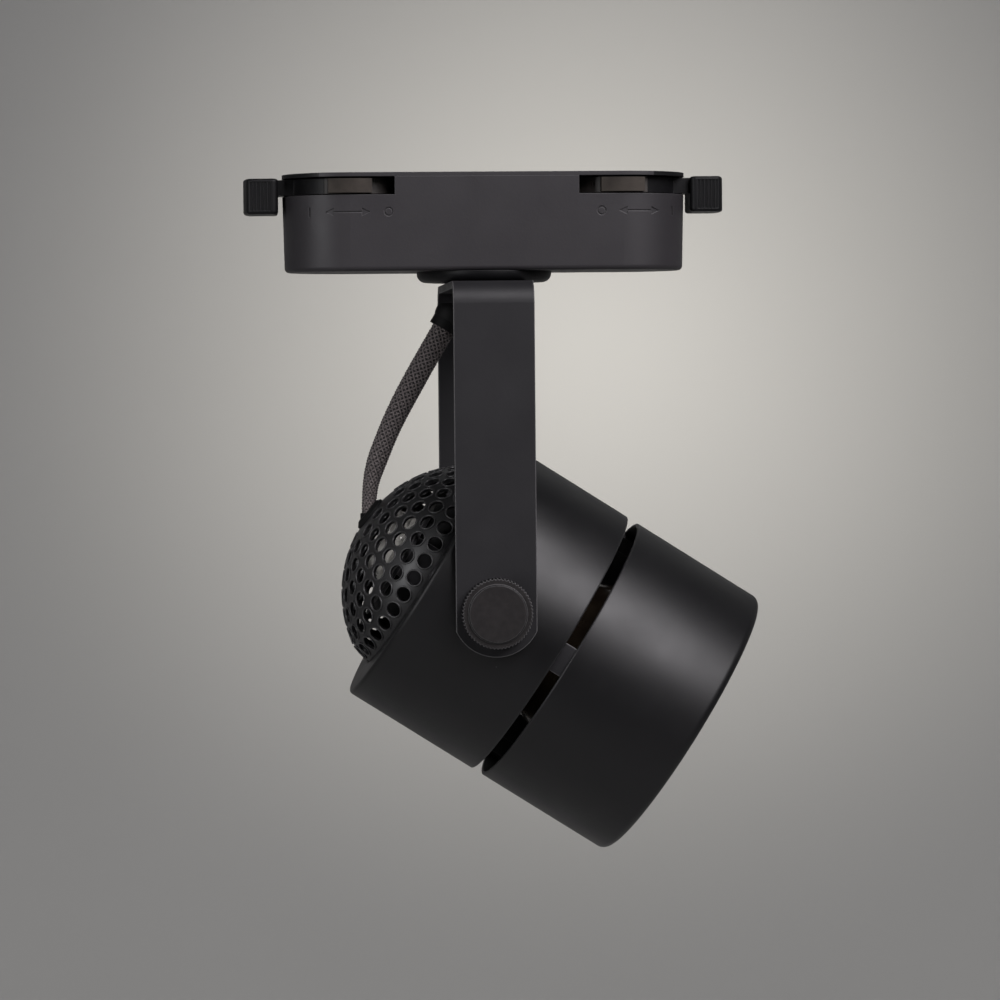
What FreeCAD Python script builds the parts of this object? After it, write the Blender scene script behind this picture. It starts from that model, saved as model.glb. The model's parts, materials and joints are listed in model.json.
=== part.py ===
"""Track spotlight: track adapter, swivelling yoke and a tilting two-shell head.

Units are millimetres. The origin is the centre of the adapter's top (track) face.
+X runs along the adapter towards the head's front, -Y is the near side and +Z is up.
Head parts are modelled about the pivot with their axis along +X, then tilted into place.
"""
import math
import os

import FreeCAD
import Part

os.makedirs("parts", exist_ok=True)

V = FreeCAD.Vector

# --- adapter ---
ADAPTER_LEN = 112.0
ADAPTER_R = 18.5
ADAPTER_H = 27.0
ADAPTER_WALL = 2.2
FLOOR_T = 2.0
DRAFT_DEG = 1.3
COVER_T = 1.1
SLOT_BOTTOM_Z = -6.1
SLOT_INNER_X = 25.3
SLOT_FAR_Y = 5.4
ROTOR_X = 37.5
ROTOR_R = 16.0
ROTOR_TOP_Z = -1.45
ROTOR_BOTTOM_Z = -5.75
SHAFT_R = 3.0
SHAFT_BOTTOM_Z = -20.0
PAD_X = 46.0
HANDLE_IN_R = 20.6
HANDLE_OUT_R = 29.2
HANDLE_HALF_W = 8.2
HANDLE_BOTTOM_Z = -10.9
ARM_HALF_W = 5.0
TONGUE_R = 19.0
TONGUE_HALF_W = 6.0
TONGUE_SKIN = 0.2
HUB_R = 9.0
LOCK_EDGE_X = -44.5
GROOVE_R = 0.4
GROOVE_PITCH = 1.0
GROOVE_COUNT = 6
GROOVE_IN = 1.4
MARK_Z = -10.8
MARK_DEPTH = 0.25
COVER_SCREW_Y = 12.9

# --- swivel and yoke ---
COLLAR_R = 18.75
COLLAR_T = 3.0
COLLAR_ROUND = 2.5
STEM_R = 5.0
STEM_BORE_R = 3.6
STEM_FIT = 0.05
STEM_TOP_Z = -17.8
STEM_BOTTOM_Z = -35.3
YOKE_TOP_Z = -30.3
YOKE_T = 2.0
YOKE_W = 21.8
YOKE_OUT_Y = 44.25
YOKE_BEND_R = 6.0
YOKE_END_R = 12.0
GAP = 0.3

# --- head, measured along its axis from the pivot ---
PIVOT_Z = -119.5
TILT_DEG = 32.5
HEAD_R = 41.25
SHELL_T = 1.1
REAR_S = -19.8
REAR_FRONT_S = 20.6
FRONT_REAR_S = 24.0
FRONT_S = 64.4
FRONT_LIP_R = 37.6
FRONT_ROUND = 2.2
REAR_OPEN_R = 31.6
RIVET_Y = 36.3
RIVET_R = 1.6
DOME_BASE_S = -18.7
DOME_DEPTH = 22.5
DOME_R = 31.0
DOME_CAP_R = 35.5
DOME_SHOULDER_R = 14.5
DOME_T = 0.9
HOLE_R = 2.05
HOLE_PITCH = 5.35
HOLE_RINGS = 7
GLAND_R_OFF = 4.0
GLAND_R = 5.1
GLAND_SINK = 1.3
FLANGE_R = 38.6
PIN_OFF = 5.6
STRAP_W = 8.7
STRAP_ANGLES = (92.0, 212.0, 332.0)

# --- pivot knobs ---
KNOB_R = 9.6
KNOB_FACE_R = 7.9
KNOB_H = 5.9
KNOB_STEP = 0.8
KNOB_TEETH = 60
SCREW_R = 2.4
SCREW_FIT = 0.06

# --- lead from the yoke's stem to the head ---
LEAD_D = 6.5
LEAD_ROUTE = [
    (-9.1, 0.0, -39.0),
    (-22.6, 0.0, -61.4),
    (-30.2, 0.0, -78.4),
    (-32.8, 0.0, -88.2),
    (-32.6, 0.0, -95.0),
]


def export(name, shape):
    """Write one sub-part as a STEP file named after its node."""
    if not shape.isValid():
        shape.fix(0.001, 0.001, 0.001)
    state = "valid" if shape.isValid() else "INVALID"
    print("%-24s %s solids %d  volume %.1f mm3" % (name, state, len(shape.Solids), shape.Volume))
    shape.exportStep("parts/%s.step" % name)


def box(x0, x1, y0, y1, z0, z1):
    return Part.makeBox(x1 - x0, y1 - y0, z1 - z0, V(x0, y0, z0))


def cyl_z(r, z0, z1, x=0.0, y=0.0):
    return Part.makeCylinder(r, z1 - z0, V(x, y, z0), V(0, 0, 1))


def cyl_x(r, x0, x1, y=0.0, z=0.0):
    return Part.makeCylinder(r, x1 - x0, V(x0, y, z), V(1, 0, 0))


def cyl_y(r, y0, y1, x=0.0, z=0.0):
    return Part.makeCylinder(r, y1 - y0, V(x, y0, z), V(0, 1, 0))


def cone_z(r0, r1, z0, z1, x=0.0, y=0.0):
    return Part.makeCone(r0, r1, z1 - z0, V(x, y, z0), V(0, 0, 1))


def stadium_wire(r, z):
    """Outline of the adapter, rounded ends of radius r about the fixed end centres."""
    c = ADAPTER_LEN / 2.0 - ADAPTER_R
    bottom = Part.makeLine(V(-c, -r, z), V(c, -r, z))
    right = Part.Arc(V(c, -r, z), V(c + r, 0, z), V(c, r, z)).toShape()
    top = Part.makeLine(V(c, r, z), V(-c, r, z))
    left = Part.Arc(V(-c, r, z), V(-c - r, 0, z), V(-c, -r, z)).toShape()
    return Part.Wire([bottom, right, top, left])


def stadium(r, z0, z1):
    face = Part.Face(stadium_wire(r, z0))
    return face.extrude(V(0, 0, z1 - z0))


def mirror_x(shape):
    return shape.mirror(V(0, 0, 0), V(1, 0, 0))


def mirror_y(shape):
    return shape.mirror(V(0, 0, 0), V(0, 1, 0))


def prism_z(points, z0, z1):
    pts = [V(x, y, z0) for x, y in points]
    wire = Part.makePolygon(pts + [pts[0]])
    return Part.Face(wire).extrude(V(0, 0, z1 - z0))


def hex_z(across_flats, z0, z1):
    r = across_flats / 2.0 / math.cos(math.pi / 6.0)
    pts = [(r * math.cos(math.radians(60 * i)), r * math.sin(math.radians(60 * i))) for i in range(6)]
    return prism_z(pts, z0, z1)


def revolve_x(profile):
    """Solid of revolution about the X axis from (s, r) corner points."""
    pts = [V(s, 0, r) for s, r in profile]
    wire = Part.makePolygon(pts + [pts[0]])
    return Part.Face(wire).revolve(V(0, 0, 0), V(1, 0, 0), 360)


# ---------------------------------------------------------------- adapter

def slot_cutter():
    """Slot that goes round the left end, where the lever arm and the tongue move."""
    edge = ADAPTER_LEN / 2.0 + 2.0
    return box(-edge, -SLOT_INNER_X, -ADAPTER_R - 2, SLOT_FAR_Y, SLOT_BOTTOM_Z, -COVER_T)


def adapter_cavity():
    inner = stadium(ADAPTER_R - ADAPTER_WALL, -ADAPTER_H + FLOOR_T, -COVER_T)
    for sign in (-1, 1):
        boss = cyl_z(6.2, -ADAPTER_H + FLOOR_T, SLOT_BOTTOM_Z - 0.05, sign * ROTOR_X)
        inner = inner.cut(boss)
        pillar = cyl_z(3.2, -ADAPTER_H + FLOOR_T, -COVER_T, 0, sign * COVER_SCREW_Y)
        inner = inner.cut(pillar)
    return inner


def make_housing():
    shrink = (ADAPTER_H - COVER_T) * math.tan(math.radians(DRAFT_DEG))
    top = stadium_wire(ADAPTER_R, -COVER_T)
    bottom = stadium_wire(ADAPTER_R - shrink, -ADAPTER_H)
    body = Part.makeLoft([top, bottom], True, True)
    low_edges = [e for e in body.Edges if e.BoundBox.ZMax < -ADAPTER_H + 0.01]
    body = body.makeFillet(1.3, low_edges)
    body = body.cut(adapter_cavity())
    slot = slot_cutter()
    body = body.cut(slot).cut(mirror_x(slot))
    for sign in (-1, 1):
        body = body.cut(cyl_z(SHAFT_R + STEM_FIT, SHAFT_BOTTOM_Z - 0.5, 0, sign * ROTOR_X))
        body = body.cut(cyl_z(1.25, -14.0, 0, 0, sign * COVER_SCREW_Y))
    body = body.cut(cyl_z(8.0, -ADAPTER_H - 1, -ADAPTER_H + FLOOR_T + 0.01))
    stop = box(-12.2, -8.7, -0.35, 0.35, -ADAPTER_H + FLOOR_T, -23.2)
    body = body.fuse(stop)
    for y in (-5.0, 3.0):
        body = body.fuse(box(13.0, 19.0, y, y + 2.0, -ADAPTER_H + FLOOR_T, -17.0))
    body = body.fuse(box(-18.0, -14.0, -2.5, 2.5, -ADAPTER_H + FLOOR_T, -14.5))
    return body.cut(lever_marks()).removeSplitter()


def arrow_points(x0, x1):
    """Outline in XZ of a thin arrow with a head at both ends."""
    head, half, thin = 2.3, 1.1, 0.2
    return [
        (x0, MARK_Z), (x0 + head, MARK_Z + half), (x0 + head, MARK_Z + thin), (x1 - head, MARK_Z + thin),
        (x1 - head, MARK_Z + half), (x1, MARK_Z), (x1 - head, MARK_Z - half), (x1 - head, MARK_Z - thin),
        (x0 + head, MARK_Z - thin), (x0 + head, MARK_Z - half),
    ]


def mark_arrow(x0, x1):
    vecs = [V(x, -ADAPTER_R - 1, z) for x, z in arrow_points(x0, x1)]
    return Part.Face(Part.makePolygon(vecs + [vecs[0]])).extrude(V(0, ADAPTER_R - 4, 0))


def mark_bar(x):
    return box(x - 0.25, x + 0.25, -ADAPTER_R - 1, -5, MARK_Z - 1.3, MARK_Z + 1.3)


def mark_ring(x):
    return cyl_y(1.3, -ADAPTER_R - 1, -5, x, MARK_Z).cut(cyl_y(0.85, -ADAPTER_R - 2, -4, x, MARK_Z))


def lever_marks():
    """Cutters for the engraved double arrows with an on bar and an off ring beside each."""
    draft = (-COVER_T - MARK_Z) * math.tan(math.radians(DRAFT_DEG))
    core = stadium(ADAPTER_R - draft - MARK_DEPTH, -ADAPTER_H, 0)
    marks = [
        mark_arrow(-44.3, -32.0), mark_bar(-48.5), mark_ring(-27.0),
        mark_arrow(36.3, 47.6), mark_bar(51.5), mark_ring(31.5),
    ]
    return [mark.cut(core) for mark in marks]


def make_cover():
    plate = stadium(ADAPTER_R, -COVER_T, 0.0)
    plate = plate.common(box(-PAD_X, PAD_X, -30, 30, -COVER_T, 0))
    for sign in (-1, 1):
        y = sign * COVER_SCREW_Y
        plate = plate.cut(cone_z(1.4, 2.6, -COVER_T, 0.0, 0, y))
    return plate


def make_end_pad(sign):
    pad = stadium(ADAPTER_R, -COVER_T, 0.0)
    if sign < 0:
        return pad.common(box(-80, -PAD_X, -30, 30, -COVER_T, 0))
    return pad.common(box(PAD_X, 80, -30, 30, -COVER_T, 0))


def make_cover_screw(sign):
    y = sign * COVER_SCREW_Y
    screw = cyl_z(1.25, -12.0, -COVER_T, 0, y)
    screw = screw.fuse(cone_z(1.4, 2.6, -COVER_T, 0.0, 0, y))
    slot = box(-2.8, 2.8, y - 0.3, y + 0.3, -0.5, 0.1)
    return screw.cut(slot).removeSplitter()


def make_collar():
    """Round swivel disc under the housing, with its spigot in the housing's floor."""
    top = -ADAPTER_H
    low = top - COLLAR_T
    disc = cyl_z(COLLAR_R, low, top)
    rim = [e for e in disc.Edges if e.BoundBox.ZMax < low + 0.01]
    disc = disc.makeFillet(COLLAR_ROUND, rim)
    disc = disc.fuse(cyl_z(7.95, top - 0.5, top + FLOOR_T))
    disc = disc.cut(cyl_z(STEM_R + STEM_FIT, low - 1, top + FLOOR_T + 1))
    return disc.removeSplitter()


def make_terminal_block():
    block = box(12.0, 20.0, -8.0, 8.0, -17.0, -8.5)
    for y in (-4.0, 4.0):
        block = block.cut(cyl_z(1.6, -13.8, -8.0, 16.0, y))
        block = block.cut(cyl_x(1.2, 11.0, 21.0, y, -13.8))
    return block


def make_terminal_screw(y):
    screw = cyl_z(1.6, -12.4, -9.0, 16.0, y)
    return screw.cut(box(14.0, 18.0, y - 0.3, y + 0.3, -9.7, -8.9))


def strip_xz(points, half_w, thick):
    """Flat strip that follows (x, z) points, thickness upwards, width along Y."""
    low = [V(x, -half_w, z) for x, z in points]
    high = [V(x, -half_w, z + thick) for x, z in reversed(points)]
    face = Part.Face(Part.makePolygon(low + high + [low[0]]))
    return face.extrude(V(0, 2 * half_w, 0))


def make_feed_spring(sign):
    if sign < 0:
        pts = [(-17.6, -14.5), (-19.6, -14.5), (-24.5, -7.2), (-27.5, -7.0)]
        pts = [(-14.4, -14.5)] + pts
    else:
        pts = [(20.0, -11.5), (21.5, -11.5), (25.0, -7.2), (28.0, -7.0)]
    return strip_xz(pts, 2.3, 0.5)


# ---------------------------------------------------------------- levers

def make_lever_left():
    """Lock lever: hub shaft, arm through the end slot and a ribbed handle."""
    a = -ROTOR_X
    disc = cyl_z(HANDLE_OUT_R, HANDLE_BOTTOM_Z, -COVER_T, a)
    handle = disc.cut(cyl_z(HANDLE_IN_R, HANDLE_BOTTOM_Z - 1, 0, a))
    handle = handle.common(box(-90, a, -HANDLE_HALF_W, HANDLE_HALF_W, -40, 0))
    upright = [e for e in handle.Edges if e.BoundBox.ZLength > 8.0]
    handle = handle.makeFillet(1.6, upright)
    flat = [e for e in handle.Edges if e.BoundBox.ZLength < 0.01]
    handle = handle.makeFillet(0.8, flat)
    for sign in (-1, 1):
        for i in range(GROOVE_COUNT):
            x = a - HANDLE_IN_R - GROOVE_IN - GROOVE_PITCH * i
            groove = cyl_z(GROOVE_R, HANDLE_BOTTOM_Z + 0.9, -COVER_T - 0.9, x, sign * HANDLE_HALF_W)
            handle = handle.cut(groove)
    arm = box(a - HANDLE_IN_R - 1.0, a - HUB_R + 2.0, -ARM_HALF_W, ARM_HALF_W, ROTOR_BOTTOM_Z, ROTOR_TOP_Z)
    sector = cyl_z(ROTOR_R, ROTOR_BOTTOM_Z, ROTOR_TOP_Z, a)
    sector = sector.common(box(-90, LOCK_EDGE_X, -30, 30, -10, 0))
    shaft = cyl_z(SHAFT_R, SHAFT_BOTTOM_Z, ROTOR_TOP_Z, a)
    hub = cyl_z(HUB_R, ROTOR_BOTTOM_Z, ROTOR_TOP_Z, a)
    return handle.fuse([arm, sector, hub, shaft]).removeSplitter()


def make_rotor_left():
    """Insulating rotor that fits round the lever's hub and carries the tongue."""
    a = -ROTOR_X
    ring = cyl_z(ROTOR_R, ROTOR_BOTTOM_Z, ROTOR_TOP_Z, a)
    ring = ring.cut(cyl_z(HUB_R, ROTOR_BOTTOM_Z - 1, 0, a))
    ring = ring.cut(box(-90, LOCK_EDGE_X, -30, 30, -10, 0))
    return ring.cut(make_tongue_left())


def make_tongue_left():
    """Wide contact tongue with a round tip, nearly as tall as its rotor."""
    a = -ROTOR_X
    low, high = ROTOR_BOTTOM_Z + TONGUE_SKIN, ROTOR_TOP_Z - TONGUE_SKIN
    bar = box(a - TONGUE_HALF_W, a + TONGUE_HALF_W, -TONGUE_R - 1, -10.5, low, high)
    return bar.common(cyl_z(TONGUE_R, -10, 0, a))


# ---------------------------------------------------------------- swivel and yoke

def yoke_side(y_half, top_z, bend_r):
    """Inverted U in the YZ plane that reaches below the pivot."""
    low = PIVOT_Z - 20
    p = [
        V(0, -y_half, low), V(0, -y_half, top_z - bend_r),
        V(0, -y_half + bend_r, top_z), V(0, y_half - bend_r, top_z),
        V(0, y_half, top_z - bend_r), V(0, y_half, low),
    ]
    k = bend_r * (1 - math.sqrt(0.5))
    m0 = V(0, -y_half + k, top_z - k)
    m1 = V(0, y_half - k, top_z - k)
    edges = [
        Part.makeLine(p[0], p[1]), Part.Arc(p[1], m0, p[2]).toShape(),
        Part.makeLine(p[2], p[3]), Part.Arc(p[3], m1, p[4]).toShape(),
        Part.makeLine(p[4], p[5]), Part.makeLine(p[5], p[0]),
    ]
    face = Part.Face(Part.Wire(edges))
    face.translate(V(-YOKE_W / 2.0, 0, 0))
    return face.extrude(V(YOKE_W, 0, 0))


def make_yoke():
    outer = yoke_side(YOKE_OUT_Y, YOKE_TOP_Z, YOKE_BEND_R)
    inner = yoke_side(YOKE_OUT_Y - YOKE_T, YOKE_TOP_Z - YOKE_T, YOKE_BEND_R - YOKE_T)
    strap = outer.cut(inner)
    keep = box(-YOKE_W, YOKE_W, -60, 60, PIVOT_Z, 0)
    keep = keep.fuse(cyl_y(YOKE_END_R, -60, 60, 0, PIVOT_Z))
    strap = strap.common(keep)
    strap = strap.cut(cyl_z(STEM_R, YOKE_TOP_Z - 5, 0))
    strap = strap.cut(cyl_y(SCREW_R + SCREW_FIT, -60, 60, 0, PIVOT_Z))
    return strap.removeSplitter()


def make_stem():
    tube = cyl_z(STEM_R, STEM_BOTTOM_Z, STEM_TOP_Z)
    return tube.cut(cyl_z(STEM_BORE_R, STEM_BOTTOM_Z - 1, STEM_TOP_Z + 1))


def make_stop_washer():
    """Washer on the stem with the lug that meets the housing's stop rib."""
    z0 = -ADAPTER_H + FLOOR_T + GAP
    washer = cyl_z(8.2, z0, z0 + 1.0)
    lug = box(0, 9.3, -0.9, 0.9, z0, z0 + 1.0).cut(cyl_z(8.0, z0 - 1, z0 + 2))
    return washer.fuse(lug).cut(cyl_z(STEM_R, z0 - 1, z0 + 2)).removeSplitter()


def make_stem_nut():
    z0 = -ADAPTER_H + FLOOR_T + GAP + 1.0
    return hex_z(14.0, z0, z0 + 4.2).cut(cyl_z(STEM_R, z0 - 1, z0 + 6))


def make_yoke_nut():
    top = YOKE_TOP_Z - YOKE_T
    return hex_z(13.0, STEM_BOTTOM_Z, top).cut(cyl_z(STEM_R, STEM_BOTTOM_Z - 1, top + 1))


def make_lead_boot():
    """Elbow boot that turns the lead out of the hollow stem."""
    start = V(*LEAD_ROUTE[0])
    run = V(*LEAD_ROUTE[1]) - start
    run.normalize()
    spigot = cyl_z(STEM_BORE_R, STEM_BOTTOM_Z - 0.5, STEM_BOTTOM_Z + 4.0)
    flange = cyl_z(6.2, STEM_BOTTOM_Z - 1.6, STEM_BOTTOM_Z)
    knee_z = STEM_BOTTOM_Z - 4.4
    knee = Part.makeSphere(4.9, V(0, 0, knee_z))
    cross = cyl_x(4.5, start.x, 0, 0, knee_z)
    elbow = Part.makeSphere(4.75, start)
    spout = Part.makeCylinder(4.3, 4.6, start, run)
    body = knee.fuse([cross, elbow, spout])
    body = body.common(box(-20, 20, -10, 10, -60, STEM_BOTTOM_Z - 0.4))
    body = body.fuse([flange, spigot])
    bore = Part.makeCylinder(LEAD_D / 2.0 + 0.05, 8.0, start - run * 0.05, run)
    return body.cut(bore).removeSplitter()


def lead_edges():
    """Centreline of straight runs and tangent arcs through the route's corners."""
    pts = [V(*p) for p in LEAD_ROUTE]
    edges = []
    start = pts[0]
    length = 0.0
    for i in range(1, len(pts) - 1):
        a = pts[i] - pts[i - 1]
        b = pts[i + 1] - pts[i]
        turn = a.getAngle(b)
        shorter = min(a.Length, b.Length)
        radius = 0.45 * shorter / math.tan(turn / 2.0)
        tangent = 0.45 * shorter
        a.normalize()
        b.normalize()
        t0 = pts[i] - a * tangent
        t1 = pts[i] + b * tangent
        out = (b - a)
        out.normalize()
        mid = pts[i] + out * (radius / math.cos(turn / 2.0) - radius)
        edges.append(Part.makeLine(start, t0))
        arc = Part.Arc(t0, mid, t1).toShape()
        edges.append(arc)
        length += (t0 - start).Length + arc.Length
        print("lead corner %d: turn %.1f deg, radius %.1f mm" % (i, math.degrees(turn), radius))
        start = t1
    edges.append(Part.makeLine(start, pts[-1]))
    length += (pts[-1] - start).Length
    print("lead length %.2f mm" % length)
    return edges, length


def make_lead():
    edges, length = lead_edges()
    path = Part.Wire(edges)
    first = V(*LEAD_ROUTE[1]) - V(*LEAD_ROUTE[0])
    ring = Part.Wire(Part.makeCircle(LEAD_D / 2.0, V(*LEAD_ROUTE[0]), first))
    tube = path.makePipeShell([ring], True, False)
    section = math.pi * (LEAD_D / 2.0) ** 2
    print("lead volume %.1f mm3, section x length %.1f mm3" % (tube.Volume, section * length))
    return tube


# ---------------------------------------------------------------- head

def place_head(shape):
    """Tilt a part modelled along +X about the pivot and move it to the pivot."""
    out = shape.copy()
    out.rotate(V(0, 0, 0), V(0, 1, 0), TILT_DEG)
    out.translate(V(0, 0, PIVOT_Z))
    return out


def make_rear_shell():
    """Plain barrel of the head's rear half."""
    r, t = HEAD_R, SHELL_T
    profile = [
        (REAR_S, r - t), (REAR_S, r - 0.9), (REAR_S + 0.3, r - 0.3), (REAR_S + 0.9, r),
        (REAR_FRONT_S - 0.3, r), (REAR_FRONT_S, r - 0.3), (REAR_FRONT_S, r - t),
    ]
    return revolve_x(profile).cut(cyl_y(SCREW_R, -60, 60))


def make_rear_rim():
    """Flat turned-in rim at the back of the rear shell, round the dome."""
    rim = cyl_x(HEAD_R - SHELL_T, REAR_S, DOME_BASE_S)
    rim = rim.cut(cyl_x(REAR_OPEN_R, REAR_S - 1, DOME_BASE_S + 1))
    for sign in (-1, 1):
        rim = rim.cut(cyl_x(RIVET_R, REAR_S - 1, DOME_BASE_S + 1, sign * RIVET_Y))
    return rim


def make_front_shell():
    """Front ring with its rounded and turned-in mouth."""
    r, t, f = HEAD_R, SHELL_T, FRONT_ROUND
    outer = []
    inner = []
    for i in range(7):
        a = math.radians(15 * i)
        outer.append((FRONT_S - f + f * math.sin(a), r - f + f * math.cos(a)))
        g = f - t
        inner.append((FRONT_S - f + g * math.sin(a), r - f + g * math.cos(a)))
    profile = [(FRONT_REAR_S, r - t), (FRONT_REAR_S, r - 0.3), (FRONT_REAR_S + 0.3, r)]
    profile += outer
    profile += [(FRONT_S, FRONT_LIP_R), (FRONT_S - t, FRONT_LIP_R)]
    profile += list(reversed(inner))
    return revolve_x(profile)


def make_strap(angle):
    """Joining strap inside the two shells, seen as a block in the ring gap."""
    s0, s1 = 13.0, 31.6
    outer = cyl_x(HEAD_R - SHELL_T, s0, s1)
    ring = outer.cut(cyl_x(HEAD_R - SHELL_T - 1.4, s0 - 1, s1 + 1))
    piece = ring.common(box(s0, s1, -STRAP_W / 2.0, STRAP_W / 2.0, 0, 60))
    piece.rotate(V(0, 0, 0), V(1, 0, 0), angle)
    return piece


def dome_turn():
    """Angle from the axis at which the dome's cap meets its tighter shoulder."""
    return math.atan2(DOME_R - DOME_SHOULDER_R, DOME_CAP_R - DOME_DEPTH)


def dome_point(angle, inset=0.0):
    """Point (s, r) where the dome's normal leaves at this angle from the axis."""
    if angle <= dome_turn() + 1e-9:
        radius = DOME_CAP_R - inset
        centre = (DOME_BASE_S - DOME_DEPTH + DOME_CAP_R, 0.0)
    else:
        radius = DOME_SHOULDER_R - inset
        centre = (DOME_BASE_S, DOME_R - DOME_SHOULDER_R)
    return centre[0] - radius * math.cos(angle), centre[1] + radius * math.sin(angle)


def dome_angle(length):
    """Normal angle after this length of arc from the pole."""
    cap = DOME_CAP_R * dome_turn()
    if length <= cap:
        return length / DOME_CAP_R
    return dome_turn() + (length - cap) / DOME_SHOULDER_R


def dome_arcs(inset):
    """Shoulder and cap arcs of the dome's profile, in the XZ plane."""
    turn = dome_turn()
    arcs = []
    for a0, a1 in ((0.5 * math.pi, turn + 2e-9), (turn, 0.0)):
        spots = [dome_point(a, inset) for a in (a0, 0.5 * (a0 + a1), a1)]
        if a0 > turn:
            spots[2] = dome_point(turn, inset)
        arcs.append(Part.Arc(*[V(s, 0, r) for s, r in spots]).toShape())
    return arcs


def dome_shell():
    """Domed cap that stands on its flange ring."""
    b = DOME_BASE_S
    t = DOME_T
    edges = dome_arcs(0.0) + dome_arcs(t) + [
        Part.makeLine(V(b - DOME_DEPTH, 0, 0), V(b - DOME_DEPTH + t, 0, 0)),
        Part.makeLine(V(b, 0, DOME_R - t), V(b, 0, DOME_R)),
    ]
    wire = Part.Wire(Part.__sortEdges__(edges))
    return Part.Face(wire).revolve(V(0, 0, 0), V(1, 0, 0), 360)


def make_dome_ring():
    """Flat flange of the dome, clamped against the rear rim by the rivets."""
    ring = cyl_x(FLANGE_R, DOME_BASE_S, DOME_BASE_S + DOME_T)
    ring = ring.cut(cyl_x(DOME_R - DOME_T, DOME_BASE_S - 1, DOME_BASE_S + 2))
    for sign in (-1, 1):
        ring = ring.cut(cyl_x(RIVET_R, DOME_BASE_S - 1, DOME_BASE_S + 2, sign * RIVET_Y))
    return ring


def dome_holes():
    """Hole centres as (normal angle, azimuth) in staggered rings."""
    holes = [(0.0, 0.0)]
    for ring in range(1, HOLE_RINGS + 1):
        a = dome_angle(ring * HOLE_PITCH)
        around = 2 * math.pi * dome_point(a)[1]
        count = int(round(around / (HOLE_PITCH * 1.02)))
        shift = math.pi / count if ring % 2 else 0.0
        for i in range(count):
            holes.append((a, shift + 2 * math.pi * i / count))
    return holes


def hole_cutter(a, azimuth, radius=HOLE_R):
    """Round punch along the dome's normal at one hole."""
    s, r = dome_point(a)
    n = V(-math.cos(a), 0, math.sin(a))
    tool = Part.makeCylinder(radius, 4.0, V(s, 0, r) - n * 2.5, n)
    tool.rotate(V(0, 0, 0), V(1, 0, 0), math.degrees(azimuth))
    return tool


def gland_angle():
    return math.asin(GLAND_R_OFF / DOME_CAP_R)


def gland_centre():
    """Centre of the gland's ball, a little inside the dome's skin."""
    a = gland_angle()
    s, r = dome_point(a, GLAND_SINK)
    return V(s, 0, r)


def make_dome():
    dome = dome_shell()
    tools = [Part.makeSphere(GLAND_R + 0.03, gland_centre())]
    keep_clear = GLAND_R + HOLE_R + 0.7
    pole = DOME_BASE_S - DOME_DEPTH
    for a, azimuth in dome_holes():
        s, r = dome_point(a)
        d = math.hypot(r * math.cos(azimuth) - GLAND_R_OFF, r * math.sin(azimuth))
        if math.hypot(d, s - pole) > keep_clear:
            tools.append(hole_cutter(a, azimuth))
    print("dome openings", len(tools))
    return dome.cut(tools)


def make_gland():
    """Round rubber cord grip in the dome, bored for the lead that comes down into it."""
    end = V(*LEAD_ROUTE[-1])
    up = V(*LEAD_ROUTE[-2]) - end
    up.normalize()
    ball = Part.makeSphere(GLAND_R, gland_centre())
    inner_s = DOME_BASE_S - DOME_DEPTH + GLAND_R - 0.5
    ball = ball.common(box(-60, inner_s, -10, 10, -20, 20))
    bore = Part.makeCylinder(LEAD_D / 2.0 + 0.05, 12.0, end - up * 0.05, up)
    return place_head(ball).cut(bore)


def make_bracket():
    """Dished bracket: rim feet, risers and a centre plate behind the lampholder."""
    t = 1.2
    foot_s = DOME_BASE_S + 0.9
    plate_s = -28.2
    shape = cyl_x(23.0, plate_s, plate_s + t)
    for sign in (-1, 1):
        y0, y1 = sorted((sign * 22.2, sign * 39.2))
        shape = shape.fuse(box(foot_s, foot_s + t, y0, y1, -6, 6))
        y0, y1 = sorted((sign * 21.0, sign * 22.2))
        shape = shape.fuse(box(plate_s, foot_s + t, y0, y1, -6, 6))
    shape = shape.common(cyl_x(39.2, -40, 0))
    keep = box(-40, 0, -60, 60, -12.5, 12.5)
    shape = shape.common(keep)
    shape = shape.cut(cyl_x(8.05, -40, -20))
    for sign in (-1, 1):
        shape = shape.cut(cyl_x(RIVET_R, -20, -10, sign * RIVET_Y, 0))
        shape = shape.cut(cyl_x(1.5, -30, -20, sign * 15.0, 0))
    return shape.removeSplitter()


def make_bracket_rivet(sign):
    y = sign * RIVET_Y
    shank = cyl_x(RIVET_R, REAR_S, DOME_BASE_S + 2.1, y)
    head = cyl_x(2.8, DOME_BASE_S + 2.1, DOME_BASE_S + 3.1, y)
    return shank.fuse(head).removeSplitter()


def make_holder_body():
    """Porcelain lampholder body with a hollow for the screw sleeve."""
    s0, s1 = -27.0, -2.4
    profile = [(s0, 0), (s0, 16.9), (s0 + 0.8, 17.7), (s1 - 1.5, 17.7), (s1, 16.4), (s1, 0)]
    body = revolve_x(profile)
    body = body.fuse(cyl_x(8.0, -30.5, s0))
    body = body.cut(cyl_x(14.4, -24.6, 0))
    for sign in (-1, 1):
        body = body.cut(cyl_x(1.5, -30, -24.8, sign * 15.0, 0))
    return body.removeSplitter()


def make_holder_terminal():
    """Porcelain terminal cap behind the bracket."""
    cap = cyl_x(9.4, -34.5, -30.5).fuse(cyl_x(11.4, -30.5, -29.4))
    cap = cap.cut(cyl_x(8.05, -30.5, -29.0))
    for sign in (-1, 1):
        cap = cap.cut(cyl_x(2.0, -35, -31.6, 0, sign * PIN_OFF))
    cap = cap.cut(box(-35, -33.4, -2.0, 2.0, -20, 20))
    return cap.removeSplitter()


def make_terminal_pin(sign):
    z = sign * PIN_OFF
    pin = cyl_x(2.0, -33.4, -31.6, 0, z)
    return pin.cut(box(-33.6, -32.9, -0.3, 0.3, z - 3, z + 3))


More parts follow.
